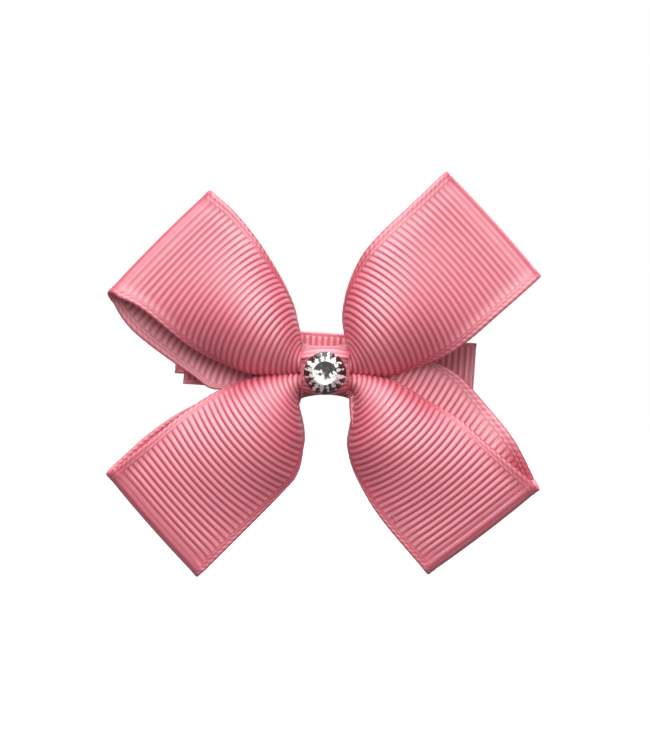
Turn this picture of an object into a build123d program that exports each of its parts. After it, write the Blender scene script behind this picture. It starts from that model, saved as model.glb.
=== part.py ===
from build123d import *
import os
from math import acos, atan2, cos, degrees, hypot, radians, sin

# Hair bow: two loops of grosgrain ribbon crossed into an X, pinched by a narrow centre wrap that
# carries a rhinestone, and glued to a ribbon-lined single-prong alligator clip.
# Millimetres. X to the right, Z up, the front of the bow faces -Y. The origin lies on the hair
# side of the lined upper clip arm, straight behind the rhinestone.

# ---- Driving dimensions ---------------------------------------------------------------------
# Bow ribbon
RIBBON_THICKNESS = 0.5
LOOP_FRONT = -12.6            # foremost point of a loop's front layer
LOOP_BACK = -3.0              # back layer, next to the clip
FOLD_FRONT = -7.8             # front of the soft roll at a loop's outer end
FOLD_BACK = -4.2
FOLD_PAST = 2.0               # the outline runs this far past the fold's corners, to clear it
PINCH_BACK = -3.3             # gathered layers inside the wrap, two ribbons deep
PINCH_FRONT = -8.4
PINCH_GAP = 0.2

# Centre wrap, gathering thread and stone
WRAP_WIDTH = 7.4
WRAP_WALL = 0.7
WRAP_BACK = -2.0
WRAP_FRONT = -9.7
WRAP_BOTTOM = -3.4
WRAP_TOP = 4.2
WRAP_CORNER = 1.5
THREAD_DIAMETER = 0.3
THREAD_TURNS = 3
THREAD_WAIST = 4.0            # height of a turn of thread
THREAD_GAP = 0.3              # between the gathered ribbons and the thread's centre line
STONE_DIAMETER = 6.6
STONE_HEIGHT = 2.8
STONE_GIRDLE = 0.35
STONE_TABLE = 0.56            # table width over stone diameter
STAR_FLATTER = 22.0           # degrees by which star facets lie flatter than the main ones
STAR_REACH = 0.955            # where a star facet meets the table, over the table radius
BREAK_STEEPER = 7.0           # degrees by which the facets at the girdle are steeper
BREAK_REACH = 0.985           # where those facets meet the girdle, over the stone radius
FOIL_THICKNESS = 0.1
GLUE_THICKNESS = 0.2
GLUE_PAD = (6.6, 5.6)         # between the wrap and the clip
GLUE_PAD_RISE = 0.75

# Clip, in its own frame: X along the arms with the nose at +X, Z across them
CLIP_TILT = 4.0               # degrees, nose down
CLIP_RISE = 1.55
SHEET = 0.8                   # steel thickness of both arms
ARM_WIDTH = 6.6
ARM_CORNER = 1.6
ARM_REAR = -21.4
ARM_NOSE = 22.8
LINING_THICKNESS = 0.4
LINING_WIDTH = 9.5
LINING_REAR = -22.0
LINING_INNER_END = -3.4
EAR_THICKNESS = 0.7
EAR_GAP = 0.1                 # side play between the nested ears
EAR_LENGTH = 7.0
EAR_EYE = 2.0                 # radius of the round end about the pin
EAR_ROOT = 0.4                # height of the strip of metal that an ear grows from
NECK_WIDTH = 5.0              # lower arm where it passes between the upper ears
LOWER_WIDTH = 6.4
LOWER_LINING_WIDTH = 6.4
LOWER_LINING_TURN = 3.0       # length turned under at the tip of the handle
LOWER_BEND = 9.0              # bend radius of the lower arm
LOWER_EAR_BASE = 5.95
LOWER_EAR_LENGTH = 4.4
NOTCH = (10.6, 9.0, 4.0)      # cut from each edge of the lower arm to clear the upper ears
HINGE_X = -8.0
HINGE_Y = 3.2
PIN_DIAMETER = 1.4
PIN_CLEARANCE = 0.05          # radial, in the lower ears
PIN_HEAD = 0.4
PIN_HEAD_LIP = 0.45
WIRE = 0.7
COIL_RADIUS = 1.35
COIL_PITCH = 0.76
COIL_TURNS = 3
TOOTH_HEIGHT = 0.44
TOOTH_PITCH = 1.15
TOOTH_COUNT = 4
TOOTH_ROOT = 0.8
TOOTH_POINT = 0.2
JOIN = 0.01                   # overlap that makes a tooth one solid with its arm

# ---- Values worked out from them ------------------------------------------------------------
LINING_FRONT = -(SHEET + 2 * LINING_THICKNESS)
ARM_FRONT = -(SHEET + LINING_THICKNESS)
ARM_BACK = -LINING_THICKNESS
CLIP = Location((0, 0, CLIP_RISE), (0, CLIP_TILT, 0))
PINCH_MID = (PINCH_BACK + PINCH_FRONT) / 2
REAR_PINCH = (PINCH_BACK, PINCH_MID + PINCH_GAP / 2)
FRONT_PINCH = (PINCH_MID - PINCH_GAP / 2, PINCH_FRONT)

os.makedirs("parts", exist_ok=True)


def save(solid, name):
    """Write one sub-part to its own file."""
    solid.label = name
    export_step(solid, f"parts/{name}.step")


def front_plane(y):
    """Sketch plane seen from the front at depth y; extrusions from it come forward."""
    return Plane(origin=(0, y, 0), x_dir=(1, 0, 0), z_dir=(0, -1, 0))


def slab(sketch, back, front):
    """Prism of a sketch drawn in X and Z, from depth back to depth front."""
    return extrude(front_plane(back) * sketch, amount=back - front)


def block(x0, x1, y0, y1, z0, z1):
    """Plain box given by its limits."""
    return Pos((x0 + x1) / 2, (y0 + y1) / 2, (z0 + z1) / 2) * Box(x1 - x0, y1 - y0, z1 - z0)


# ---- Bow ribbons ----------------------------------------------------------------------------
# The ribbons leave the wrap through a window on each side, one above the other.
WINDOW_X = WRAP_WIDTH / 2 + 0.05
UPPER_WINDOW = (0.15, 3.2)
LOWER_WINDOW = (-2.6, -0.35)
wrap_space = block(-WINDOW_X, WINDOW_X, -20, 0, WRAP_BOTTOM - 0.1, WRAP_TOP + 0.1)


def loop_profile(pinch, reach):
    """Side view of one loop: two layers from the pinch out to the rolled fold."""
    back, front = pinch
    corners = [
        (2.0, front),
        (2.0, back),
        (5.0, back),
        (11.0, LOOP_BACK),
        (reach - 7.0, LOOP_BACK - 0.7),
        (reach, FOLD_BACK),
        (reach, FOLD_FRONT),
        (16.0, LOOP_FRONT),
        (11.0, LOOP_FRONT + 0.1),
        (5.0, front),
    ]
    bends = [0.6, 0.6, 2.0, 6.0, 6.0, 1.6, 1.6, 6.0, 3.0, 1.2]
    outer = make_face(FilletPolyline(*corners, radius=bends, close=True))
    return outer - offset(outer, -RIBBON_THICKNESS)


def loop(pinch, reach, angle, upper_selvedge, lower_selvedge):
    """One loop: the extruded side view, trimmed to the gathered outline seen from the front."""
    out = Vector(cos(radians(angle)), 0, sin(radians(angle)))
    across = Vector(-sin(radians(angle)), 0, cos(radians(angle)))
    side = Plane(origin=(0, 0, 0), x_dir=out, z_dir=across)
    band = extrude(side * loop_profile(pinch, reach), amount=30, both=True)
    past = (out.X * FOLD_PAST, out.Z * FOLD_PAST)
    upper_end = (upper_selvedge[-1][0] + past[0], upper_selvedge[-1][1] + past[1])
    lower_end = (lower_selvedge[-1][0] + past[0], lower_selvedge[-1][1] + past[1])
    outline = make_face(
        Spline(*upper_selvedge)
        + Polyline(upper_selvedge[-1], upper_end, lower_end, lower_selvedge[-1])
        + Spline(*lower_selvedge)
        + Line(lower_selvedge[0], upper_selvedge[0])
    )
    return (band & slab(outline, 0, -20)) - wrap_space


def pinched_core(pinch, left_window, right_window):
    """The gathered middle of a ribbon, running across inside the wrap."""
    x = WINDOW_X
    corners = [(-x, left_window[0]), (-x, left_window[1]), (x, right_window[1]), (x, right_window[0])]
    return slab(make_face(Polyline(*corners, close=True)), pinch[0], pinch[1])


rear_bow_ribbon = (
    loop(
        REAR_PINCH, 32.9, 135.0,
        [(-WINDOW_X, UPPER_WINDOW[1]), (-4.9, 9.2), (-9.5, 19.2), (-17.9, 28.4)],
        [(-WINDOW_X, UPPER_WINDOW[0]), (-11.5, 0.5), (-22.0, 5.1), (-33.7, 12.4)],
    )
    + loop(
        REAR_PINCH, 34.6, -52.7,
        [(WINDOW_X, LOWER_WINDOW[1]), (11.5, -1.9), (21.8, -8.0), (33.4, -18.0)],
        [(WINDOW_X, LOWER_WINDOW[0]), (3.9, -10.5), (8.0, -21.4), (16.0, -31.3)],
    )
    + pinched_core(REAR_PINCH, UPPER_WINDOW, LOWER_WINDOW)
)
front_bow_ribbon = (
    loop(
        FRONT_PINCH, 35.0, 42.4,
        [(WINDOW_X, UPPER_WINDOW[1]), (3.9, 10.0), (8.7, 21.6), (18.8, 31.4)],
        [(WINDOW_X, UPPER_WINDOW[0]), (12.5, 0.5), (23.0, 5.7), (33.6, 15.0)],
    )
    + loop(
        FRONT_PINCH, 35.8, 221.0,
        [(-WINDOW_X, LOWER_WINDOW[1]), (-12.5, -1.0), (-23.0, -6.0), (-34.3, -15.3)],
        [(-WINDOW_X, LOWER_WINDOW[0]), (-4.0, -11.0), (-10.0, -21.9), (-19.8, -31.8)],
    )
    + pinched_core(FRONT_PINCH, LOWER_WINDOW, UPPER_WINDOW)
)
save(rear_bow_ribbon, "rear_bow_ribbon")
save(front_bow_ribbon, "front_bow_ribbon")


# ---- Gathering thread, wound round the crossed ribbons --------------------------------------
def thread_turn(x):
    """One closed turn of thread in the plane at x."""
    depth = PINCH_BACK - PINCH_FRONT + 2 * THREAD_GAP
    plane = Plane(origin=(x, PINCH_MID, 0.2), x_dir=(0, 1, 0), z_dir=(1, 0, 0))
    path = plane * RectangleRounded(depth, THREAD_WAIST, 0.5).wire()
    start = path @ 0
    section = Plane(origin=start, z_dir=path % 0) * Circle(THREAD_DIAMETER / 2)
    return sweep(section, path=path)


thread_pitch = THREAD_DIAMETER * 1.4
turns = [thread_turn((i - (THREAD_TURNS - 1) / 2) * thread_pitch) for i in range(THREAD_TURNS)]
save(Compound(children=turns), "gathering_thread")

# ---- Centre wrap ----------------------------------------------------------------------------
wrap_depth = WRAP_BACK - WRAP_FRONT
wrap_height = WRAP_TOP - WRAP_BOTTOM
wrap_plane = Plane(
    origin=(-WRAP_WIDTH / 2, (WRAP_BACK + WRAP_FRONT) / 2, (WRAP_TOP + WRAP_BOTTOM) / 2),
    x_dir=(0, 1, 0),
    z_dir=(1, 0, 0),
)
wrap_section = RectangleRounded(wrap_depth, wrap_height, WRAP_CORNER) - RectangleRounded(
    wrap_depth - 2 * WRAP_WALL, wrap_height - 2 * WRAP_WALL, WRAP_CORNER - WRAP_WALL
)
centre_wrap = extrude(wrap_plane * wrap_section, amount=WRAP_WIDTH)
save(centre_wrap, "centre_wrap")

# ---- Rhinestone, its foil and its glue ------------------------------------------------------
glue_front = WRAP_FRONT - GLUE_THICKNESS
foil_front = glue_front - FOIL_THICKNESS
stone_radius = STONE_DIAMETER / 2
save(slab(Circle(stone_radius * 0.8), WRAP_FRONT, glue_front), "stone_glue")
save(slab(Circle(stone_radius * 0.96), glue_front, foil_front), "stone_foil")


def facet(stone, turn, slope, radius, height):
    """Grind one flat facet: its plane passes through radius and height, leaning in by slope."""
    a = radians(turn)
    s = radians(slope)
    point = (radius * cos(a), foil_front - height, radius * sin(a))
    normal = (sin(s) * cos(a), -cos(s), sin(s) * sin(a))
    return split(stone, bisect_by=Plane(origin=point, z_dir=normal), keep=Keep.BOTTOM)


table_radius = stone_radius * STONE_TABLE
rhinestone = slab(Circle(stone_radius), foil_front, foil_front - STONE_HEIGHT)
main_slope = degrees(atan2(STONE_HEIGHT - STONE_GIRDLE, stone_radius - table_radius))
for i in range(8):
    rhinestone = facet(rhinestone, 45 * i, main_slope, table_radius, STONE_HEIGHT)
for i in range(8):
    star_slope = main_slope - STAR_FLATTER
    rhinestone = facet(rhinestone, 45 * i + 22.5, star_slope, table_radius * STAR_REACH, STONE_HEIGHT)
for i in range(16):
    break_slope = main_slope + BREAK_STEEPER
    rhinestone = facet(rhinestone, 22.5 * i + 11.25, break_slope, stone_radius * BREAK_REACH, STONE_GIRDLE)
save(rhinestone, "rhinestone")

# ---- Glue between the bow and the clip ------------------------------------------------------
glue_pad = Pos(0, GLUE_PAD_RISE) * RectangleRounded(*GLUE_PAD, 1.4)
save(slab(glue_pad, LINING_FRONT, WRAP_BACK), "bow_glue")


# ---- Clip: upper arm ------------------------------------------------------------------------
def hinge_hole(radius):
    """Cutter along the hinge axis, in the clip's frame."""
    return Pos(HINGE_X, HINGE_Y, 0) * Cylinder(radius, 3 * ARM_WIDTH)


def ear(base_y, half_length, z0, z1):
    """Side ear: a tab that narrows from the strip to a round eye about the hinge."""
    eye = Pos(HINGE_X, HINGE_Y) * Circle(EAR_EYE)
    foot = Pos(HINGE_X, base_y) * Rectangle(2 * half_length, EAR_ROOT)
    tab = make_hull(eye.edges() + foot.edges())
    return extrude(Plane.XY.offset(z0) * tab, amount=z1 - z0)


upper_ear_inside = NECK_WIDTH / 2 + EAR_GAP
upper_ear_outside = upper_ear_inside + EAR_THICKNESS
arm_middle = (ARM_REAR + ARM_NOSE) / 2
arm_plan = Pos(arm_middle, 0) * RectangleRounded(ARM_NOSE - ARM_REAR, ARM_WIDTH, ARM_CORNER)
plate = slab(arm_plan, ARM_BACK, ARM_FRONT)
upper_ear_base = ARM_BACK - EAR_ROOT / 2
upper_ears = [
    ear(upper_ear_base, EAR_LENGTH / 2, upper_ear_inside, upper_ear_outside),
    ear(upper_ear_base, EAR_LENGTH / 2, -upper_ear_outside, -upper_ear_inside),
]
upper_arm = plate + upper_ears - hinge_hole(PIN_DIAMETER / 2)
save(CLIP * upper_arm, "clip_upper_arm")

# ---- Clip: upper lining, one ribbon folded round the nose -----------------------------------
half_lining = LINING_WIDTH / 2
fold_radius = SHEET / 2 + LINING_THICKNESS
fold_centre = (ARM_NOSE, (ARM_FRONT + ARM_BACK) / 2)
front_strip = block(LINING_REAR, ARM_NOSE, LINING_FRONT, ARM_FRONT, -half_lining, half_lining)
back_strip = block(LINING_INNER_END, ARM_NOSE, ARM_BACK, 0, -half_lining, half_lining)
fold_section = Circle(fold_radius) - Circle(SHEET / 2) - Pos(-fold_radius, 0) * Rectangle(2 * fold_radius, 4)
nose_fold = extrude(
    Plane.XY.offset(-half_lining) * Pos(*fold_centre) * fold_section, amount=LINING_WIDTH
)
save(CLIP * (front_strip + back_strip + nose_fold), "clip_upper_lining")

# ---- Clip: lower arm, a bowed prong with a flared handle ------------------------------------
TIP = (22.4, 0.94)
HANDLE_FOOT = (-9.0, 6.1)
HANDLE_TIP = (-23.2, 12.2)
arm_bends = [(17.0, TIP[1]), (8.0, 4.9), (-2.0, 5.9)]
arm_line = FilletPolyline(TIP, *arm_bends, HANDLE_FOOT, HANDLE_TIP, radius=LOWER_BEND)
lower_side = make_face(offset(arm_line, SHEET / 2, side=Side.BOTH))
lower_strip = extrude(Plane.XY.offset(-LOWER_WIDTH / 2) * lower_side, amount=LOWER_WIDTH)
for side in (-1, 1):
    notch_z = side * (NECK_WIDTH + NOTCH[2]) / 2
    lower_strip -= Pos(HINGE_X, HINGE_Y + 3, notch_z) * Box(*NOTCH)
lower_ear_outside = NECK_WIDTH / 2
lower_ear_inside = lower_ear_outside - EAR_THICKNESS
lower_ears = [
    ear(LOWER_EAR_BASE, LOWER_EAR_LENGTH / 2, lower_ear_inside, lower_ear_outside),
    ear(LOWER_EAR_BASE, LOWER_EAR_LENGTH / 2, -lower_ear_outside, -lower_ear_inside),
]
tooth_side = make_face(
    Polyline(
        (-TOOTH_ROOT / 2, 0), (TOOTH_ROOT / 2, 0),
        (TOOTH_POINT / 2, -TOOTH_HEIGHT), (-TOOTH_POINT / 2, -TOOTH_HEIGHT), close=True,
    )
)
tooth = extrude(Plane.XY.offset(-LOWER_WIDTH / 2) * tooth_side, amount=LOWER_WIDTH)
tooth_y = TIP[1] - SHEET / 2 + JOIN
teeth = [Pos(TIP[0] - i * TOOTH_PITCH, tooth_y, 0) * tooth for i in range(TOOTH_COUNT)]
lower_arm = lower_strip + lower_ears + teeth - hinge_hole(PIN_DIAMETER / 2 + PIN_CLEARANCE)
save(CLIP * lower_arm, "clip_lower_arm")

# ---- Clip: lower lining, glued over the handle and turned round its tip ---------------------
handle_length = hypot(HANDLE_TIP[0] - HANDLE_FOOT[0], HANDLE_TIP[1] - HANDLE_FOOT[1])
handle_angle = degrees(atan2(HANDLE_TIP[1] - HANDLE_FOOT[1], HANDLE_TIP[0] - HANDLE_FOOT[0]))
half_lower = LOWER_LINING_WIDTH / 2
inner_face = SHEET / 2
outer_face = SHEET / 2 + LINING_THICKNESS
over_handle = block(LOWER_LINING_TURN - handle_length, 0, -outer_face, -inner_face, -half_lower, half_lower)
under_handle = block(-LOWER_LINING_TURN, 0, inner_face, outer_face, -half_lower, half_lower)
turn_section = Circle(outer_face) - Circle(inner_face) - Pos(-outer_face, 0) * Rectangle(2 * outer_face, 4)
tip_turn = extrude(Plane.XY.offset(-half_lower) * turn_section, amount=LOWER_LINING_WIDTH)
at_handle_tip = Location((HANDLE_TIP[0], HANDLE_TIP[1], 0), (0, 0, handle_angle))
lower_lining = at_handle_tip * (over_handle + under_handle + tip_turn)
save(CLIP * lower_lining, "clip_lower_lining")

# ---- Clip: hinge pin, riveted over both upper ears ------------------------------------------
pin = Cylinder(PIN_DIAMETER / 2, 2 * upper_ear_outside)
for side in (-1, 1):
    head_z = side * (upper_ear_outside + PIN_HEAD / 2)
    pin += Pos(0, 0, head_z) * Cylinder(PIN_DIAMETER / 2 + PIN_HEAD_LIP, PIN_HEAD)
save(CLIP * Pos(HINGE_X, HINGE_Y, 0) * pin, "hinge_pin")


# ---- Clip: torsion spring, pushing the two handles apart ------------------------------------
def leg_angle(target, side):
    """Angle at which a leg leaves the coil so that it runs straight to the target."""
    distance = hypot(*target)
    return degrees(atan2(target[1], target[0])) + side * degrees(acos(COIL_RADIUS / distance))


upper_target = (-10.8, ARM_BACK + WIRE / 2 + 0.03 - HINGE_Y)
lower_target = (-10.0, 5.55)
first_angle = leg_angle(upper_target, 1)
last_angle = leg_angle(lower_target, -1)
wound = (last_angle - first_angle) % 360 + 360 * COIL_TURNS
coil_height = COIL_PITCH * wound / 360
helix = Rot(0, 0, first_angle) * Pos(0, 0, -coil_height / 2) * Helix(COIL_PITCH, coil_height, COIL_RADIUS)
coil_start = helix @ 0
coil_end = helix @ 1
upper_leg = Line((upper_target[0], upper_target[1], coil_start.Z), coil_start)
lower_leg = Line(coil_end, (lower_target[0], lower_target[1], coil_end.Z))
wire_line = Wire([upper_leg.edge(), helix.edge(), lower_leg.edge()])
wire_section = Plane(origin=wire_line @ 0, z_dir=wire_line % 0) * Circle(WIRE / 2)
spring = sweep(wire_section, path=wire_line, transition=Transition.TRANSFORMED, is_frenet=True)
save(CLIP * Pos(HINGE_X, HINGE_Y, 0) * spring, "torsion_spring")
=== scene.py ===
# %% [markdown]
# # A grosgrain hair bow on a lined clip
# The bow is two strips of ribbed ribbon, each sewn into two loops and crossed into an X. A narrow
# ribbon wraps the middle and carries a rhinestone, and behind it sits a sprung alligator clip that
# is lined with ribbon. The metal clip and the stone come from the CAD model, which is loaded here
# as a fixed frame. Everything woven is built in this lesson, because cloth needs ribs, selvedges
# and soft curves that the plain CAD strips don't have.

import math

import bpy
import numpy as np
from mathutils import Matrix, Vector


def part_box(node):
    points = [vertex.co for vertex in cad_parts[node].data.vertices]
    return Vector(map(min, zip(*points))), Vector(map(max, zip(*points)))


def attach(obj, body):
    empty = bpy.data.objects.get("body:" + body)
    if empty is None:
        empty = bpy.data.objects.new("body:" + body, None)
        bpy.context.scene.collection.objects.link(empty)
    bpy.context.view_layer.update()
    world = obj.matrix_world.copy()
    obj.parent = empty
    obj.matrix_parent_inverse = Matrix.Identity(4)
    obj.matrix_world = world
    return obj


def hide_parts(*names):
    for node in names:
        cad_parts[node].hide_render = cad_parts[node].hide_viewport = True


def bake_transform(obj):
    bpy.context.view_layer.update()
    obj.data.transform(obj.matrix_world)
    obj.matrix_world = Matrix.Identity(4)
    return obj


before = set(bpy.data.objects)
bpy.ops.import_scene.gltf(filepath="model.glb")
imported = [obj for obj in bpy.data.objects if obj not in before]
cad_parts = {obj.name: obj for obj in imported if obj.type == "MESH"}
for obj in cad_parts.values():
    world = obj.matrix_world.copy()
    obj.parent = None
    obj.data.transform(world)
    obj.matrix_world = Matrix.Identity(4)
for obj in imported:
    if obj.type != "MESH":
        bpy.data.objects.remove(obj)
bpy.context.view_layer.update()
print("nodes:", sorted(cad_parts))

# %% [markdown]
# ## Sizes
# A ribbon maker works in millimetres, so the cloth is drawn in millimetres and scaled once, when a
# mesh is made. The ribs are the thick weft cords of grosgrain, about one to a millimetre. The
# selvedge is the finely woven band along each edge that keeps the cords from slipping out.

# %% Sizes of the ribbons
MM = 0.001
RIB_PITCH = 0.97
RIB_HEIGHT = 0.2
RIB_SAMPLES = 8
CLOTH_THICKNESS = 0.18
SELVEDGE = 1.35
NARROW_SELVEDGE = 0.6
GROOVES = (0.8, 1.35)
BOW_RIBBON_WIDTH = 22.0
NARROW_RIBBON_WIDTH = 9.5
HANDLE_RIBBON_WIDTH = 6.4
print("ribs along 100 mm of ribbon:", round(100 / RIB_PITCH))

# %% [markdown]
# ## Curves
# Each selvedge of a loop is one smooth curve through a few points that a maker would mark on a
# paper pattern. A Catmull-Rom spline passes through every mark, and resampling it by length gives
# evenly spaced stations, so that ribs drawn between two selvedges stay evenly spaced too.


# %% A smooth curve through marks, sampled evenly
def smooth_curve(marks, count, trim_end=0.0):
    """Points evenly spaced by length on a Catmull-Rom curve through the marks."""
    p = np.array(marks, dtype=float)
    p = np.vstack([2 * p[0] - p[1], p, 2 * p[-1] - p[-2]])
    fine = []
    for i in range(1, len(p) - 2):
        t = np.linspace(0, 1, 60, endpoint=False)[:, None]
        a, b, c, d = p[i - 1], p[i], p[i + 1], p[i + 2]
        square = (2 * a - 5 * b + 4 * c - d) * t**2
        cube = (3 * b - a - 3 * c + d) * t**3
        fine.append(0.5 * (2 * b + (c - a) * t + square + cube))
    fine = np.vstack(fine + [p[-2][None, :]])
    length = np.concatenate([[0], np.cumsum(np.linalg.norm(np.diff(fine, axis=0), axis=1))])
    stations = np.linspace(0, length[-1] - trim_end, count)
    return np.stack([np.interp(stations, length, fine[:, k]) for k in range(p.shape[1])], axis=1)


def smoothstep(low, high, x):
    """0 below low, 1 above high, and a soft ramp between."""
    t = np.clip((x - low) / (high - low), 0, 1)
    return t * t * (3 - 2 * t)


# %% [markdown]
# ## How a flat ribbon becomes a loop
# The strip keeps its 22 mm width everywhere. Where the loop is pinched, its edges come closer, so
# the strip has to arch across its width. An arch of half-angle a over a strip of width w spans
# w*sin(a)/a, and that formula, read backwards, gives the arch for every rib. Past a right angle the
# edges curl under, which is what makes the deep soft folds beside the wrap. A cloth simulation
# could find this too, but a stiff, narrow ribbon follows the rule closely, and the rule can be
# steered until the loops sit as the real ones do.

# %% Arch of a rib from the span between its ends
arch_angles = np.linspace(0.02, math.pi / 2, 300)
arch_spans = np.sin(arch_angles) / arch_angles


def arch_half_angle(span, width, most):
    """Half-angle of the arch that a strip of this width makes over this span."""
    ratio = np.clip(span / width, 0.05, 0.9999)
    shallow = np.interp(ratio, arch_spans[::-1], arch_angles[::-1])
    curled = 1 / ratio
    return np.minimum(np.where(ratio > 2 / math.pi, shallow, curled), most)


def across_marks(width, middle_count=15):
    """Positions across a ribbon, from +1 to -1, closer together in the selvedges."""
    edge = np.array([0, 0.2, 0.4, 0.6, 0.8, 1.08, SELVEDGE]) / (width / 2)
    middle = np.linspace(1 - edge[-1], -(1 - edge[-1]), middle_count)
    return np.concatenate([1 - edge[:-1], middle, -(1 - edge[:-1])[::-1]])


BOW_ACROSS = across_marks(BOW_RIBBON_WIDTH)


def layer(upper, lower, depth, side, bow_out, most_curl, flatten, tilt=0.0):
    """Rows of points for one layer of a loop: side is -1 for the front layer and +1 for the back."""
    middle = (upper + lower) / 2
    span = np.linalg.norm(upper - lower, axis=1)
    chord = (upper - lower) / span[:, None]
    outward = np.stack([chord[:, 1], -chord[:, 0]], axis=1)
    outward *= np.sign(np.sum(outward * middle, axis=1))[:, None]
    angle = arch_half_angle(span, BOW_RIBBON_WIDTH, most_curl)
    reach = np.minimum(angle, math.pi / 2)
    radius = span / 2 / np.sin(reach)
    turn = BOW_ACROSS[None, :] * angle[:, None]
    lateral = radius[:, None] * np.sin(turn)
    sag = radius[:, None] * (1 - np.cos(turn)) * flatten[:, None]
    lean = (np.cos(turn) - np.cos(reach)[:, None]) / (1 - np.cos(reach)[:, None])
    lean *= (bow_out * span)[:, None]
    plane = middle[:, None, :] + chord[:, None, :] * lateral[:, :, None]
    plane = plane + outward[:, None, :] * lean[:, :, None]
    y = depth[:, None] - side * sag + tilt * lateral
    return np.stack([plane[:, :, 0], y, plane[:, :, 1]], axis=2)


# %% [markdown]
# ## One loop of the bow
# A loop starts inside the wrap, swells towards the viewer, rolls over softly at its outer end and
# comes back flat behind. The roll isn't pressed: it keeps about 3 mm of thickness, which is why
# the ends look plump and catch a smooth band of light. The cords flatten there, because the cloth is
# stretched round the fold.

# %% Rows of one loop, from the wrap out and back again
STATIONS = 150
ROLL_STATIONS = 40
ROLL_REACH = 1.7
ROLL_FRONT = -7.6
ROLL_BACK = -4.3
FRONT_DEPTH = [
    (0, -8.0), (2, -8.6), (6, -11.6), (10, -12.8), (14, -12.6), (20, -11.1), (26, -9.3), (32, ROLL_FRONT),
]
BACK_START = -3.6
FRONT_CURL = 2.0
BACK_CURL = 1.5
FRONT_SAG = 0.85
BACK_SAG = 0.15
BACK_BOW = 0.05
LEAST_BOW = 0.012


def loop_rows(front_upper, front_lower, back_upper, back_lower, back_depth, bulge, end_relief, tilt=0.0):
    """Rows of one loop along the ribbon, from the front of the wrap out and back, and their relief."""
    step = np.linspace(0, 1, STATIONS)
    upper = smooth_curve(front_upper, STATIONS, ROLL_REACH)
    lower = smooth_curve(front_lower, STATIONS, ROLL_REACH)
    depth_curve = smooth_curve(FRONT_DEPTH, 200)
    depth = np.interp(step * FRONT_DEPTH[-1][0], depth_curve[:, 0], depth_curve[:, 1])
    bow_out = bulge * (1 - smoothstep(0.35, 1.0, step)) + LEAST_BOW
    soft = 1 - 0.95 * smoothstep(0.4, 1.0, step)
    front = layer(upper, lower, depth, -1, bow_out, FRONT_CURL, FRONT_SAG * soft)
    upper = smooth_curve(back_upper, STATIONS, ROLL_REACH)
    lower = smooth_curve(back_lower, STATIONS, ROLL_REACH)
    back_marks = [
        (0, BACK_START), (0.1, back_depth - 0.3), (0.5, back_depth), (0.8, back_depth - 0.6), (1, ROLL_BACK),
    ]
    back_curve = smooth_curve(back_marks, 200)
    depth = np.interp(step, back_curve[:, 0], back_curve[:, 1])
    bow_out = BACK_BOW * (1 - smoothstep(0.6, 1.0, step)) + LEAST_BOW
    lean_back = tilt * (1 - smoothstep(0.6, 1.0, step))[:, None]
    back = layer(upper, lower, depth, 1, bow_out, BACK_CURL, BACK_SAG * soft, lean_back)
    angle = np.linspace(0, math.pi, ROLL_STATIONS + 2)[1:-1, None, None]
    share = (1 - np.cos(angle)) / 2
    roll = front[-1][None] * (1 - share) + back[-1][None] * share
    edge = front[-1][0] - front[-1][-1]
    outward = np.array([edge[2], 0, -edge[0]]) / math.hypot(edge[0], edge[2])
    outward *= np.sign(outward @ front[-1][len(BOW_ACROSS) // 2])
    roll = roll + outward[None, None, :] * ROLL_REACH * np.sin(angle)
    fade = 1 - (1 - end_relief) * smoothstep(0.95, 1.0, step)
    relief = np.concatenate([fade, np.full(ROLL_STATIONS, end_relief), fade[::-1]])
    return np.concatenate([front, roll, back[::-1]]), relief


# %% [markdown]
# ## The four loops
# The marks are in millimetres as seen from the front, x to the right and z up, from the wrap out to
# the corner of the fold. Each loop has its own, because a hand-tied bow is never symmetric: the
# rear ribbon's back layers are turned a little, so that they peek out beside its front layers. Below
# the wrap, both ribbons' back layers also show a sliver of tucked cloth beside the front layers.

# %% Marks of the loops
UPPER_LEFT = loop_rows(
    [(-2.2, 3.0), (-3.65, 3.7), (-4.4, 7.2), (-5.9, 12.7), (-9.6, 19.2), (-14.0, 24.9), (-17.9, 28.4)],
    [
        (-2.2, 0.5), (-3.7, 0.1), (-7, -0.25), (-10.7, -0.1),
        (-14.6, 1.1), (-21, 4.2), (-28.7, 10.1), (-33.7, 12.4),
    ],
    [(-2.2, 3.0), (-3.7, 3.2), (-5.5, 8), (-9, 14.5), (-13, 21.5), (-17.9, 28.4)],
    [
        (-2.2, 0.5), (-3.8, 0.2), (-10, -0.9), (-16.9, -2.5),
        (-21, -0.15), (-27.9, 4.8), (-31.4, 8.2), (-33.8, 12.4),
    ],
    back_depth=-4.0, bulge=0.13, end_relief=0.4,
)
LOWER_RIGHT = loop_rows(
    [
        (2.2, -0.6), (3.7, -0.3), (7.6, -0.7), (11.1, -1.6),
        (15.8, -4.3), (20.6, -7.1), (25.3, -11.2), (33.4, -18),
    ],
    [(2.2, -2.4), (4.5, -2.6), (4.75, -5.5), (4.1, -9), (3.75, -12), (4.9, -16), (8.7, -22.5), (16, -31.3)],
    [(2.2, -0.6), (3.8, 0.0), (10, 1.2), (16, 1.9), (20.6, -0.2), (24.8, -4.7), (29.5, -10.6), (33.4, -18)],
    [(2.2, -2.4), (3.7, -2.8), (3.95, -5.5), (4.3, -8.5), (5.2, -11.5), (7.5, -16), (11, -23.5), (16, -31.3)],
    back_depth=-6.8, bulge=0.11, end_relief=0.4, tilt=0.18,
)
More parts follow.
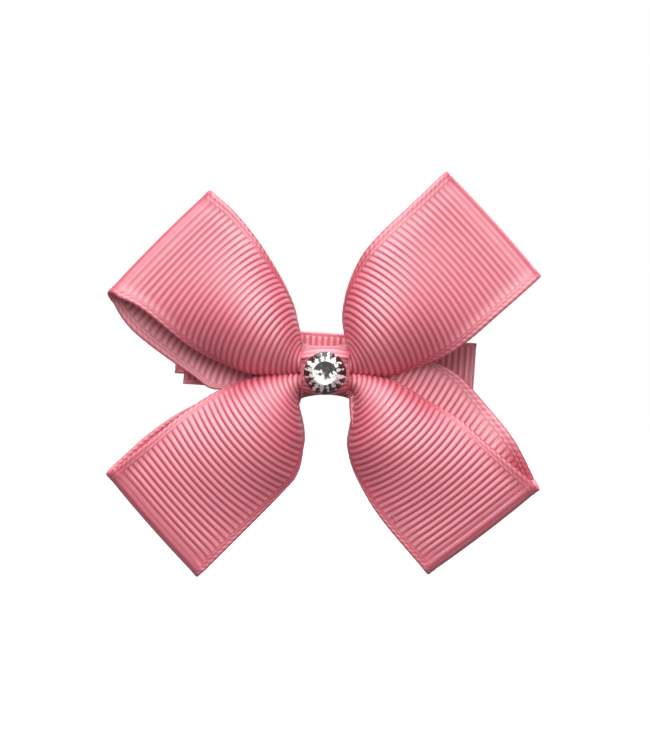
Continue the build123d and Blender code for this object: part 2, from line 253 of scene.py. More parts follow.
UPPER_RIGHT = loop_rows(
    [
        (2.2, 3.0), (3.7, 2.6), (3.5, 5.4), (3.05, 9), (3.5, 12.9),
        (5.6, 17.8), (8.7, 21.6), (13.5, 26.2), (18.8, 31.4),
    ],
    [(2.2, 0.4), (4.0, 0.0), (8.7, -0.5), (13.5, 0.8), (20.2, 3.6), (27.7, 9.8), (33.6, 15.0)],
    [(2.2, 3.0), (3.8, 2.8), (4.4, 8), (5.5, 14), (9.5, 20.5), (18.8, 31.4)],
    [(2.2, 0.4), (4.0, 0.6), (10, 1.8), (17, 3.8), (25, 8.6), (33.6, 15.0)],
    back_depth=-3.5, bulge=0.10, end_relief=0.6,
)
LOWER_LEFT = loop_rows(
    [
        (-2.2, -0.6), (-3.8, -0.35), (-9, -0.5), (-13.3, -1.4),
        (-17.2, -3.2), (-22.3, -6.5), (-27, -10.3), (-34, -15.8),
    ],
    [
        (-2.2, -2.4), (-4.0, -2.4), (-4.45, -4.6), (-3.7, -8.5),
        (-3.5, -11.5), (-4.3, -15.4), (-7, -18.8), (-19.8, -31.8),
    ],
    [(-2.2, -0.9), (-3.8, -0.8), (-10, -2.3), (-16.5, -4.0), (-21, -5.3), (-27, -9.1), (-34.2, -15.4)],
    [(-2.2, -2.4), (-3.3, -2.9), (-4.2, -5), (-4.9, -8.5), (-6, -14), (-9, -20), (-19.8, -31.8)],
    back_depth=-3.5, bulge=0.11, end_relief=0.4,
)
print("rows in one loop:", len(UPPER_LEFT[0]))

# %% [markdown]
# ## From rows to an evenly ribbed strip
# Two loops joined back to back make one closed strip. It is resampled along its own middle line, so
# that every rib gets the same number of rows wherever it lies, and each point keeps its distance
# along and across the ribbon in two attributes. The weave reads those, never the bow's shape.


# %% Make an even strip mesh
def even_rows(rows, relief, closed):
    """Resample rows along their middle line, with a whole number of ribs."""
    if closed:
        rows = np.concatenate([rows, rows[:1]])
        relief = np.append(relief, relief[0])
    middle = rows[:, rows.shape[1] // 2]
    length = np.concatenate([[0], np.cumsum(np.linalg.norm(np.diff(middle, axis=0), axis=1))])
    ribs = max(1, round(length[-1] / RIB_PITCH))
    count = ribs * RIB_SAMPLES + 1
    stations = np.linspace(0, length[-1], count)
    flat = rows.reshape(len(rows), -1)
    even = np.stack([np.interp(stations, length, flat[:, k]) for k in range(flat.shape[1])], axis=1)
    even = even.reshape(count, rows.shape[1], 3)
    along = np.linspace(0, ribs * RIB_PITCH, count)
    return even, along, np.interp(stations, length, relief), length[-1]


def strip_mesh(name, rows, relief, across, width, closed):
    """Mesh of a strip in metres, with along and across kept in millimetres."""
    even, along, relief, length = even_rows(rows, relief, closed)
    count, columns = even.shape[:2]
    used = count - 1 if closed else count
    mesh = bpy.data.meshes.new(name)
    faces = []
    for i in range(count - 1):
        j = (i + 1) % used
        for k in range(columns - 1):
            faces.append((i * columns + k, i * columns + k + 1, j * columns + k + 1, j * columns + k))
    points = even[:used].reshape(-1, 3) * MM
    mesh.from_pydata(points.tolist(), [], faces)
    along_points = np.repeat(along[:used], columns)
    across_points = np.tile(across * width / 2, used)
    relief_points = np.repeat(relief[:used], columns)
    for label, values in (("along", along_points), ("across", across_points), ("relief", relief_points)):
        field = mesh.attributes.new(label, "FLOAT", "POINT")
        field.data.foreach_set("value", values.astype(np.float32))
    uv = mesh.uv_layers.new(name="weave")
    rows_of_face = np.repeat(np.arange(count - 1), columns - 1)
    columns_of_face = np.tile(np.arange(columns - 1), count - 1)
    near, far = along[rows_of_face], along[rows_of_face + 1]
    side = across * width / 2
    one, other = side[columns_of_face], side[columns_of_face + 1]
    u = np.stack([near, near, far, far], axis=1)
    v = np.stack([one, other, other, one], axis=1)
    uv.data.foreach_set("uv", np.stack([u, v], axis=2).ravel().astype(np.float32))
    mesh.polygons.foreach_set("use_smooth", [True] * len(mesh.polygons))
    mesh.update()
    piece = bpy.data.objects.new(name, mesh)
    bpy.context.scene.collection.objects.link(piece)
    print(name, "length", round(length, 1), "mm,", len(faces), "faces")
    return piece, length


# %% [markdown]
# ## The weave, as Geometry Nodes
# Ribs repeat hundreds of times along the cloth, so a node tree raises them: it reads the two
# attributes, works out how high the cloth stands at each point and moves it along its own normal.
# Between the selvedges that height is a row of round cords with narrow valleys. In the selvedge two
# staggered lines of small knots make the fine braided edge, with a groove on its inner side.


# %% Node helpers and the pattern of the weave
def math_node(tree, kind, first, second=None, third=None):
    """One Math node, with sockets or plain numbers as inputs."""
    node = tree.nodes.new("ShaderNodeMath")
    node.operation = kind
    for socket, value in zip(node.inputs, (first, second, third)):
        if isinstance(value, (int, float)):
            socket.default_value = value
        elif value is not None:
            tree.links.new(value, socket)
    return node.outputs[0]


def ramp(tree, value, low, high):
    """Soft 0 to 1 ramp."""
    node = tree.nodes.new("ShaderNodeMapRange")
    node.interpolation_type = "SMOOTHSTEP"
    for label, content in (("Value", value), ("From Min", low), ("From Max", high)):
        if isinstance(content, (int, float)):
            node.inputs[label].default_value = content
        else:
            tree.links.new(content, node.inputs[label])
    return node.outputs["Result"]


def ridge(tree, value, centre, half):
    """1 at the centre, falling softly to 0 at half to either side."""
    away = math_node(tree, "ABSOLUTE", math_node(tree, "SUBTRACT", value, centre))
    return math_node(tree, "SUBTRACT", 1, ramp(tree, away, 0.0, half))


def cord_height(tree, phase):
    """Round cords, one to each whole step of the phase."""
    wave = math_node(tree, "SINE", math_node(tree, "MULTIPLY", phase, math.pi))
    return math_node(tree, "POWER", math_node(tree, "ABSOLUTE", wave), 1.1)


def weave_height(tree, phase, to_edge, relief):
    """Height from 0 to 1: cords inside, and a selvedge with a twisted line between grooves."""
    cords = math_node(tree, "MULTIPLY", cord_height(tree, phase), relief)
    slant = math_node(tree, "MULTIPLY_ADD", to_edge, 1.1, phase)
    edge = math_node(tree, "MULTIPLY_ADD", cord_height(tree, slant), 0.35, 0.5)
    for groove in GROOVES:
        cut = math_node(tree, "MULTIPLY", ridge(tree, to_edge, groove, 0.22), 0.45)
        edge = math_node(tree, "SUBTRACT", edge, cut)
    loops = math_node(tree, "MULTIPLY", ridge(tree, to_edge, 0.0, 0.25), cord_height(tree, phase))
    edge = math_node(tree, "SUBTRACT", edge, math_node(tree, "MULTIPLY", loops, 0.5))
    blend = tree.nodes.new("ShaderNodeMix")
    tree.links.new(ramp(tree, to_edge, SELVEDGE, SELVEDGE + 0.15), blend.inputs["Factor"])
    tree.links.new(edge, blend.inputs["A"])
    tree.links.new(cords, blend.inputs["B"])
    return blend.outputs["Result"]


# %% Build the weave tree
def float_attribute(tree, label):
    """Reads one of the strip's own attributes."""
    node = tree.nodes.new("GeometryNodeInputNamedAttribute")
    node.data_type = "FLOAT"
    node.inputs["Name"].default_value = label
    return node.outputs["Attribute"]


def build_weave():
    """Node tree that raises cords and braided selvedges on both faces of a strip."""
    tree = bpy.data.node_groups.new("Grosgrain weave", "GeometryNodeTree")
    sides = tree.interface
    sides.new_socket("Geometry", in_out="INPUT", socket_type="NodeSocketGeometry")
    for label, value in (
        ("Rib pitch mm", RIB_PITCH),
        ("Rib height mm", RIB_HEIGHT),
        ("Half width mm", BOW_RIBBON_WIDTH / 2),
        ("Selvedge mm", SELVEDGE),
    ):
        sides.new_socket(label, in_out="INPUT", socket_type="NodeSocketFloat").default_value = value
    sides.new_socket("Cloth", in_out="INPUT", socket_type="NodeSocketMaterial")
    sides.new_socket("Geometry", in_out="OUTPUT", socket_type="NodeSocketGeometry")
    given = tree.nodes.new("NodeGroupInput").outputs
    phase = math_node(tree, "DIVIDE", float_attribute(tree, "along"), given["Rib pitch mm"])
    from_middle = math_node(tree, "ABSOLUTE", float_attribute(tree, "across"))
    to_edge = math_node(tree, "SUBTRACT", given["Half width mm"], from_middle)
    stretch = math_node(tree, "DIVIDE", SELVEDGE, given["Selvedge mm"])
    to_edge = math_node(tree, "MULTIPLY", to_edge, stretch)
    height = weave_height(tree, phase, to_edge, float_attribute(tree, "relief"))
    height = math_node(tree, "MULTIPLY", height, given["Rib height mm"])
    height = math_node(tree, "MULTIPLY", height, MM)
    lift = tree.nodes.new("ShaderNodeVectorMath")
    lift.operation = "SCALE"
    tree.links.new(tree.nodes.new("GeometryNodeInputNormal").outputs[0], lift.inputs[0])
    tree.links.new(height, lift.inputs["Scale"])
    move = tree.nodes.new("GeometryNodeSetPosition")
    tree.links.new(given["Geometry"], move.inputs["Geometry"])
    tree.links.new(lift.outputs[0], move.inputs["Offset"])
    realize = tree.nodes.new("GeometryNodeRealizeInstances")
    tree.links.new(move.outputs[0], realize.inputs[0])
    paint = tree.nodes.new("GeometryNodeSetMaterial")
    tree.links.new(realize.outputs[0], paint.inputs["Geometry"])
    tree.links.new(given["Cloth"], paint.inputs["Material"])
    tree.links.new(paint.outputs[0], tree.nodes.new("NodeGroupOutput").inputs[0])
    return tree


WEAVE = build_weave()
print("weave tree nodes:", len(WEAVE.nodes))

# %% [markdown]
# ## Ribbon colour
# Dyed polyester grosgrain is a saturated rose. It looks paler on top of each cord, where the tight
# shiny threads reflect the studio light, and deeper in the valleys, where light bounces between
# pink threads. That light and shade is painted into the colour, as a painted highlight on the cords
# and painted shade in the valleys that follows the rib phase; a fine warp line crosses each cord, and
# a faint cloud of noise keeps the dye from looking printed. The threads are glossy but lie in all
# directions, so the shader is strongly reflecting and rough, with a little sheen, and light that
# scatters a fraction of a millimetre into the cloth warms the valleys.


# %% Shader helpers
def new_material(name):
    """Empty node material and its Principled shader."""
    material = bpy.data.materials.new(name)
    material.use_nodes = True
    shader = material.node_tree.nodes["Principled BSDF"]
    return material, material.node_tree, shader


def colour_mix(tree, factor, first, second):
    """Mix two colours or colour sockets."""
    node = tree.nodes.new("ShaderNodeMix")
    node.data_type = "RGBA"
    for socket, value in zip((node.inputs[0], node.inputs[6], node.inputs[7]), (factor, first, second)):
        if isinstance(value, bpy.types.NodeSocket):
            tree.links.new(value, socket)
        elif isinstance(value, (int, float)):
            socket.default_value = value
        else:
            socket.default_value = (*value, 1)
    return node.outputs[2]


def noise(tree, scale, detail, vector):
    """Soft noise between 0 and 1."""
    node = tree.nodes.new("ShaderNodeTexNoise")
    node.inputs["Scale"].default_value = scale
    node.inputs["Detail"].default_value = detail
    tree.links.new(vector, node.inputs["Vector"])
    return node.outputs["Fac"]


def bump(tree, shader, height, strength, distance):
    """Bump from a height socket."""
    node = tree.nodes.new("ShaderNodeBump")
    node.inputs["Strength"].default_value = strength
    node.inputs["Distance"].default_value = distance
    tree.links.new(height, node.inputs["Height"])
    tree.links.new(node.outputs[0], shader.inputs["Normal"])


# %% Grosgrain cloth
WARP_PITCH = 0.25
# Pale rose for the painted highlight on the cord tops, deep rose for the painted shade in the valleys.
ROSE_CREST_PAINTED_HIGHLIGHT = (0.86, 0.2, 0.29)
ROSE_VALLEY_PAINTED_SHADE = (0.54, 0.014, 0.054)
SHEEN_TINT = (1.0, 0.84, 0.88, 1)


def grosgrain(name, width, selvedge):
    """Rose grosgrain, with a painted highlight on the cord tops and painted shade in the valleys."""
    material, tree, shader = new_material(name)
    weave = tree.nodes.new("ShaderNodeUVMap")
    weave.uv_map = "weave"
    split = tree.nodes.new("ShaderNodeSeparateXYZ")
    tree.links.new(weave.outputs[0], split.inputs[0])
    relief = tree.nodes.new("ShaderNodeAttribute")
    relief.attribute_name = "relief"
    phase = math_node(tree, "DIVIDE", split.outputs[0], RIB_PITCH)
    to_edge = math_node(tree, "SUBTRACT", width / 2, math_node(tree, "ABSOLUTE", split.outputs[1]))
    to_edge = math_node(tree, "MULTIPLY", to_edge, SELVEDGE / selvedge)
    height = weave_height(tree, phase, to_edge, 1.0)
    warp_phase = math_node(tree, "MULTIPLY", split.outputs[1], 2 * math.pi / WARP_PITCH)
    warp = math_node(tree, "SINE", warp_phase)
    cloud = noise(tree, 0.35, 3, weave.outputs[0])
    fibre = noise(tree, 7.0, 2, weave.outputs[0])
    # The tone is painted light: painted highlight on the cords, painted shade in valleys and selvedge
    # grooves.
    tone = ramp(tree, height, 0.3, 1.0)
    tone = math_node(tree, "SUBTRACT", tone, 0.5)
    tone = math_node(tree, "ADD", math_node(tree, "MULTIPLY", tone, relief.outputs["Fac"]), 0.5)
    tone = math_node(tree, "MULTIPLY_ADD", math_node(tree, "SUBTRACT", fibre, 0.5), 0.5, tone)
    body = colour_mix(tree, tone, ROSE_VALLEY_PAINTED_SHADE, ROSE_CREST_PAINTED_HIGHLIGHT)
    clouded = colour_mix(tree, math_node(tree, "MULTIPLY", cloud, 0.2), body, ROSE_VALLEY_PAINTED_SHADE)
    tree.links.new(clouded, shader.inputs["Base Color"])
    fine = math_node(tree, "MULTIPLY_ADD", warp, 0.3, fibre)
    bump(tree, shader, fine, 0.4, 0.00006)
    shader.inputs["Roughness"].default_value = 0.52
    shader.inputs["Specular IOR Level"].default_value = 1.0
    shader.inputs["IOR"].default_value = 1.9
    shader.inputs["Subsurface Weight"].default_value = 0.25
    shader.inputs["Subsurface Scale"].default_value = 0.0007
    shader.inputs["Subsurface Radius"].default_value = (1.0, 0.12, 0.18)
    shader.inputs["Sheen Weight"].default_value = 0.25
    shader.inputs["Sheen Roughness"].default_value = 0.35
    shader.inputs["Sheen Tint"].default_value = SHEEN_TINT
    return material


bow_cloth = grosgrain("bow_grosgrain", BOW_RIBBON_WIDTH, SELVEDGE)
narrow_cloth = grosgrain("narrow_grosgrain", NARROW_RIBBON_WIDTH, NARROW_SELVEDGE)
handle_cloth = grosgrain("handle_grosgrain", HANDLE_RIBBON_WIDTH, NARROW_SELVEDGE)
print("cloths:", bow_cloth.name, narrow_cloth.name, handle_cloth.name)


# %% [markdown]
# ## Finish a ribbon
# Solidify gives the strip its thickness, and then the weave tree raises the cords on both faces, as
# in real grosgrain, where one thick cord shows on both sides of the cloth. The result is turned
# into a plain mesh before it is handed to the frame.


# %% Thicken a strip and weave it
def finish_ribbon(name, strip, across, width, closed, cloth, rib_height=RIB_HEIGHT, selvedge=SELVEDGE):
    """A finished ribbon object from rows of points and their relief, in millimetres."""
    rows, relief = strip
    piece, length = strip_mesh(name, rows, relief, across, width, closed)
    thick = piece.modifiers.new("thickness", "SOLIDIFY")
    thick.thickness = CLOTH_THICKNESS * MM
    thick.offset = 0
    weave = piece.modifiers.new("weave", "NODES")
    weave.node_group = WEAVE
    settings = {
        "Half width mm": width / 2,
        "Rib height mm": rib_height,
        "Selvedge mm": selvedge,
        "Cloth": cloth,
    }
    for item in WEAVE.interface.items_tree:
        if item.in_out == "INPUT" and item.name in settings:
            weave[item.identifier] = settings[item.name]
    bpy.context.view_layer.update()
    graph = bpy.context.evaluated_depsgraph_get()
    mesh = bpy.data.meshes.new_from_object(
        piece.evaluated_get(graph), preserve_all_data_layers=True, depsgraph=graph
    )
    piece.modifiers.clear()
    piece.data = mesh
    if not mesh.materials:
        mesh.materials.append(cloth)
    print(name, len(mesh.polygons), "faces after thickening")
    return piece, length


def join_loops(first, second):
    """One closed strip from a loop and its partner across the knot."""
    rows = np.concatenate([first[0], second[0][::-1]])
    return rows, np.concatenate([first[1], second[1][::-1]])


# %% The two bow ribbons
for name, node, first, second in (
    ("bow_ribbon_rear", "rear_bow_ribbon", UPPER_LEFT, LOWER_RIGHT),
    ("bow_ribbon_front", "front_bow_ribbon", UPPER_RIGHT, LOWER_LEFT),
):
    piece, length = finish_ribbon(
        name, join_loops(first, second), BOW_ACROSS, BOW_RIBBON_WIDTH, True, bow_cloth
    )
    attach(piece, "bow")
    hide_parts(node)

# %% [markdown]
# ## Narrow ribbons: the wrap and the linings
# The wrap is 9.5 mm ribbon drawn once round the knot, and its edges curl in because the knot is
# narrower than the ribbon. The clip's upper arm is lined with the same ribbon: it starts behind the
# bow, folds round the nose and ends past the hinge. A last strip is glued over the lower handle
# and turned in round its tip. Each is a path in side view, swept across its width.

# %% Paths for the narrow ribbons
wrap_low, wrap_high = (np.array(corner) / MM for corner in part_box("centre_wrap"))
CLIP_TILT = math.radians(4)
CLIP_RISE = 1.55
PLATE_MIDDLE = -0.8
PLATE_HALF = 0.4
NARROW_RIB_HEIGHT = 0.13
OFF_PLATE = PLATE_HALF + CLOTH_THICKNESS / 2 + NARROW_RIB_HEIGHT
NOSE = 22.8
LINING_REAR = -22.0
LINING_INNER_END = -3.4
HANDLE_FOOT = np.array([-9.0, 6.1])
HANDLE_TIP = np.array([-23.2, 12.2])


def on_clip(points):
    """Points of the tilted clip, moved into the bow's frame."""
    x, y, z = np.moveaxis(np.asarray(points, dtype=float), -1, 0)
    c, s = math.cos(CLIP_TILT), math.sin(CLIP_TILT)
    return np.stack([x * c + z * s, y, -x * s + z * c + CLIP_RISE], axis=-1)


def arc(centre, radius, start, end, count=24):
    """Points on an arc in side view, angles in degrees."""
    angle = np.radians(np.linspace(start, end, count))
    return np.array(centre) + radius * np.stack([np.cos(angle), np.sin(angle)], axis=1)


def straight(start, end, count=60):
    """Points on a straight line in side view."""
    t = np.linspace(0, 1, count)[:, None]
    return np.array(start) * (1 - t) + np.array(end) * t


def turned_path(rear, tip, inner_end):
    """Side view of a ribbon along one face of a plate, round its tip and back along the other."""
    return np.concatenate([
        straight((rear, PLATE_MIDDLE - OFF_PLATE), (tip, PLATE_MIDDLE - OFF_PLATE)),
        arc((tip, PLATE_MIDDLE), OFF_PLATE, -90, 90)[1:-1],
        straight((tip, PLATE_MIDDLE + OFF_PLATE), (inner_end, PLATE_MIDDLE + OFF_PLATE)),
    ])


def flat_rows(path, across, width):
    """Rows of an open strip along a path of x and y, flat across z."""
    z = across * width / 2
    rows = np.zeros((len(path), len(across), 3))
    rows[:, :, 0] = path[:, 0, None]
    rows[:, :, 1] = path[:, 1, None]
    rows[:, :, 2] = z[None, :]
    return rows, np.ones(len(path))


# %% The centre wrap
WRAP_CORNER = 1.9
WRAP_CURL = 0.3
INSET = 0.2
NARROW_ACROSS = across_marks(NARROW_RIBBON_WIDTH, 11)
y0, y1 = wrap_low[1] + INSET, wrap_high[1] - INSET
z0, z1 = wrap_low[2] + INSET, wrap_high[2] - INSET
corners = [(y1 - WRAP_CORNER, z1 - WRAP_CORNER, 0), (y0 + WRAP_CORNER, z1 - WRAP_CORNER, 90),
           (y0 + WRAP_CORNER, z0 + WRAP_CORNER, 180), (y1 - WRAP_CORNER, z0 + WRAP_CORNER, 270)]
ring = np.concatenate([arc((y, z), WRAP_CORNER, turn, turn + 90, 16) for y, z, turn in corners])
ring = smooth_curve(np.vstack([ring, ring[:1]]), 400)[:-1]
ring_normal = np.roll(ring, -1, axis=0) - np.roll(ring, 1, axis=0)
ring_normal = np.stack([ring_normal[:, 1], -ring_normal[:, 0]], axis=1)
ring_normal /= np.linalg.norm(ring_normal, axis=1)[:, None]
wrap_span = wrap_high[0] - wrap_low[0]
wrap_angle = float(arch_half_angle(np.array([wrap_span]), NARROW_RIBBON_WIDTH, 2.0)[0])
wrap_radius = wrap_span / 2 / math.sin(min(wrap_angle, math.pi / 2))
wrap_x = wrap_radius * np.sin(NARROW_ACROSS * wrap_angle)
wrap_sag = WRAP_CURL * wrap_radius * (1 - np.cos(NARROW_ACROSS * wrap_angle))
wrap_rows = np.zeros((len(ring), len(NARROW_ACROSS), 3))
wrap_rows[:, :, 0] = wrap_x[None, :]
for k in (0, 1):
    wrap_rows[:, :, k + 1] = ring[:, k, None] - ring_normal[:, k, None] * wrap_sag[None, :]
wrap, wrap_length = finish_ribbon(
    "centre_wrap_ribbon", (wrap_rows, np.ones(len(ring))), NARROW_ACROSS, NARROW_RIBBON_WIDTH,
    True, narrow_cloth, NARROW_RIB_HEIGHT, NARROW_SELVEDGE,
)
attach(wrap, "bow")
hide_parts("centre_wrap")

# %% The clip's linings
upper_path = turned_path(LINING_REAR, NOSE, LINING_INNER_END)
upper_rows, upper_relief = flat_rows(upper_path, NARROW_ACROSS, NARROW_RIBBON_WIDTH)
upper_lining, upper_length = finish_ribbon(
    "clip_upper_ribbon", (on_clip(upper_rows), upper_relief), NARROW_ACROSS, NARROW_RIBBON_WIDTH,
    False, narrow_cloth, NARROW_RIB_HEIGHT, NARROW_SELVEDGE,
)
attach(upper_lining, "bow")
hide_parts("clip_upper_lining")

handle = HANDLE_TIP - HANDLE_FOOT
handle_length = float(np.hypot(*handle))
handle_direction = handle / handle_length
HANDLE_ACROSS = across_marks(HANDLE_RIBBON_WIDTH, 7)
HANDLE_BARE = 3.0
HANDLE_TURN_IN = 3.0
handle_path = turned_path(HANDLE_BARE - handle_length, 0.0, -HANDLE_TURN_IN) - np.array([0, PLATE_MIDDLE])
turned = np.stack([
    HANDLE_TIP[0] + handle_path[:, 0] * handle_direction[0] - handle_path[:, 1] * handle_direction[1],
    HANDLE_TIP[1] + handle_path[:, 0] * handle_direction[1] + handle_path[:, 1] * handle_direction[0],
], axis=1)
handle_rows, handle_relief = flat_rows(turned, HANDLE_ACROSS, HANDLE_RIBBON_WIDTH)
handle_ribbon, handle_ribbon_length = finish_ribbon(
    "clip_handle_ribbon", (on_clip(handle_rows), handle_relief), HANDLE_ACROSS, HANDLE_RIBBON_WIDTH,
    False, handle_cloth, NARROW_RIB_HEIGHT, NARROW_SELVEDGE,
)
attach(handle_ribbon, "lower_arm")
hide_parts("clip_lower_lining")
cut_lengths = [round(cut, 1) for cut in (wrap_length, upper_length, handle_ribbon_length)]
print("narrow ribbon cut lengths, mm:", cut_lengths)

# %% [markdown]
# ## Torsion spring
# Its middle is a few close turns round the hinge pin, and its legs press the two handles apart.
# When the clip opens, one leg turns with the lower arm and the coil winds up, so the wire is its
# own mesh.

# %% The spring wire
HINGE = np.array([-8.0, 3.2])
WIRE = 0.7
COIL_RADIUS = 1.35
COIL_PITCH = 0.76
WIRE_SIDES = 12
EXTRA_TURNS = 3
UPPER_END = np.array([-10.8, -3.22])
LOWER_END = np.array([-10.0, 5.55])


def leg_angle(end, side):
    """Angle on the coil, in degrees, where a leg leaves it straight towards its end."""
    towards_end = math.atan2(end[1], end[0])
    return math.degrees(towards_end + side * math.acos(COIL_RADIUS / math.hypot(*end)))


first_angle = leg_angle(UPPER_END, 1)
wound = (leg_angle(LOWER_END, -1) - first_angle) % 360 + 360 * EXTRA_TURNS
coil_height = COIL_PITCH * wound / 360
steps = np.linspace(0, 1, 150)
coil_turn = np.radians(first_angle + wound * steps)
coil = np.stack(
    [COIL_RADIUS * np.cos(coil_turn), COIL_RADIUS * np.sin(coil_turn), coil_height * (steps - 0.5)], axis=1
)
leg_steps = np.linspace(0, 1, 14)[:-1, None]
upper_leg = np.append(UPPER_END, coil[0, 2]) * (1 - leg_steps) + coil[0] * leg_steps
lower_leg = (np.append(LOWER_END, coil[-1, 2]) * (1 - leg_steps) + coil[-1] * leg_steps)[::-1]
wire_path = np.concatenate([upper_leg, coil, lower_leg]) + np.array([HINGE[0], HINGE[1], 0])


def tube(name, path, radius, sides):
    """Closed round tube along a path in millimetres, with rounded-off ends."""
    tangent = np.gradient(path, axis=0)
    tangent /= np.linalg.norm(tangent, axis=1)[:, None]
    side = np.cross(tangent[0], [0, 0, 1.0])
    rings = []
    for point, along in zip(path, tangent):
        side = side - along * (side @ along)
        side /= np.linalg.norm(side)
        turn = np.linspace(0, 2 * math.pi, sides, endpoint=False)[:, None]
        rings.append(point + radius * (np.cos(turn) * side + np.sin(turn) * np.cross(along, side)))
    rings = [path[0] + (rings[0] - path[0]) * 0.6 - tangent[0] * radius * 0.35] + rings
    rings = rings + [path[-1] + (rings[-1] - path[-1]) * 0.6 + tangent[-1] * radius * 0.35]
    count = len(rings)
    faces = []
    for start in range(0, (count - 1) * sides, sides):
        for k in range(sides):
            after = (k + 1) % sides
            faces.append((start + k, start + after, start + sides + after, start + sides + k))
    faces += [tuple(range(sides))[::-1], tuple(range((count - 1) * sides, count * sides))]
    mesh = bpy.data.meshes.new(name)
    mesh.from_pydata((on_clip(np.concatenate(rings)) * MM).tolist(), [], faces)
    mesh.polygons.foreach_set("use_smooth", [True] * len(mesh.polygons))
    mesh.update()
    made = bpy.data.objects.new(name, mesh)
    bpy.context.scene.collection.objects.link(made)
    return made


spring = tube("spring_wire", wire_path, WIRE / 2, WIRE_SIDES)
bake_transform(spring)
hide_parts("torsion_spring")

# %% [markdown]
# ## Metal, stone, glue and thread
# The clip is stamped steel with bright nickel plating, so it shows faint rolling lines and soft
# dents. The rhinestone is cut glass over silver foil. What one sees in it is its foil thrown about
# by the facets: the table is dark in its upper part and white below, with ragged small flashes, and
# two rows of facets make white and dark spikes round the rim. The foil can't be seen that way
# through plain glass in a still scene, so this is painted reflection and painted flashes in the
# stone's colour, laid by angle and distance from its middle, under a clear coat that still catches
# the real lights.


# %% Hard materials
def object_position(tree):
    """Position on the piece, in metres."""
    return tree.nodes.new("ShaderNodeTexCoord").outputs["Object"]


def nickel(name, tone, roughness):
    """Plated steel with faint rolling lines and soft unevenness."""
    material, tree, shader = new_material(name)
    stretch = tree.nodes.new("ShaderNodeMapping")
    stretch.inputs["Scale"].default_value = (300, 4000, 4000)
    tree.links.new(object_position(tree), stretch.inputs["Vector"])
    lines = noise(tree, 1.0, 3, stretch.outputs[0])
    dents = noise(tree, 400.0, 2, object_position(tree))
    worn = colour_mix(tree, ramp(tree, dents, 0.45, 0.75), tone, tuple(0.8 * c for c in tone))
    tree.links.new(worn, shader.inputs["Base Color"])
    shader.inputs["Metallic"].default_value = 1.0
    rough = math_node(tree, "MULTIPLY_ADD", lines, 0.16, roughness)
    tree.links.new(rough, shader.inputs["Roughness"])
    bump(tree, shader, math_node(tree, "MULTIPLY_ADD", dents, 0.6, lines), 0.12, 0.00004)
    return material


def glue_material():
    """Clear hot glue: milky, soft and slightly lumpy."""
    material, tree, shader = new_material("hot_glue")
    lumps = noise(tree, 700.0, 3, object_position(tree))
    milky = colour_mix(tree, lumps, (0.78, 0.72, 0.62), (0.9, 0.87, 0.8))
    tree.links.new(milky, shader.inputs["Base Color"])
    shader.inputs["Roughness"].default_value = 0.3
    shader.inputs["Subsurface Weight"].default_value = 0.3
    shader.inputs["Subsurface Scale"].default_value = 0.001
    bump(tree, shader, lumps, 0.4, 0.0002)
    return material


def thread_material():
    """Rose sewing thread with its twist, banded in painted highlight and painted shade."""
    material, tree, shader = new_material("sewing_thread")
    twist = tree.nodes.new("ShaderNodeTexWave")
    twist.bands_direction = "DIAGONAL"
    twist.inputs["Scale"].default_value = 900
    tree.links.new(object_position(tree), twist.inputs["Vector"])
    # Painted highlight and painted shade along the twist of the thread.
    strands = colour_mix(tree, twist.outputs["Fac"], ROSE_VALLEY_PAINTED_SHADE, ROSE_CREST_PAINTED_HIGHLIGHT)
    tree.links.new(strands, shader.inputs["Base Color"])
    shader.inputs["Roughness"].default_value = 0.5
    bump(tree, shader, twist.outputs["Fac"], 0.5, 0.00005)
    return material


# %% The cut stone
# Spike count, flash size, table edge and grey steps paint the foil's reflection into the stone's colour.
RIM_SPIKES = 16
PAINTED_FLASH_SCALE = 1900
TABLE_EDGE = (1.75, 1.9)
PAINTED_REFLECTION_SHADES = (
    (0.0, (0.020, 0.016, 0.014)),
    (0.35, (0.07, 0.058, 0.052)),
    (0.6, (0.45, 0.43, 0.42)),
    (0.75, (0.85, 0.85, 0.85)),
    (1.0, (0.98, 0.98, 0.98)),
)


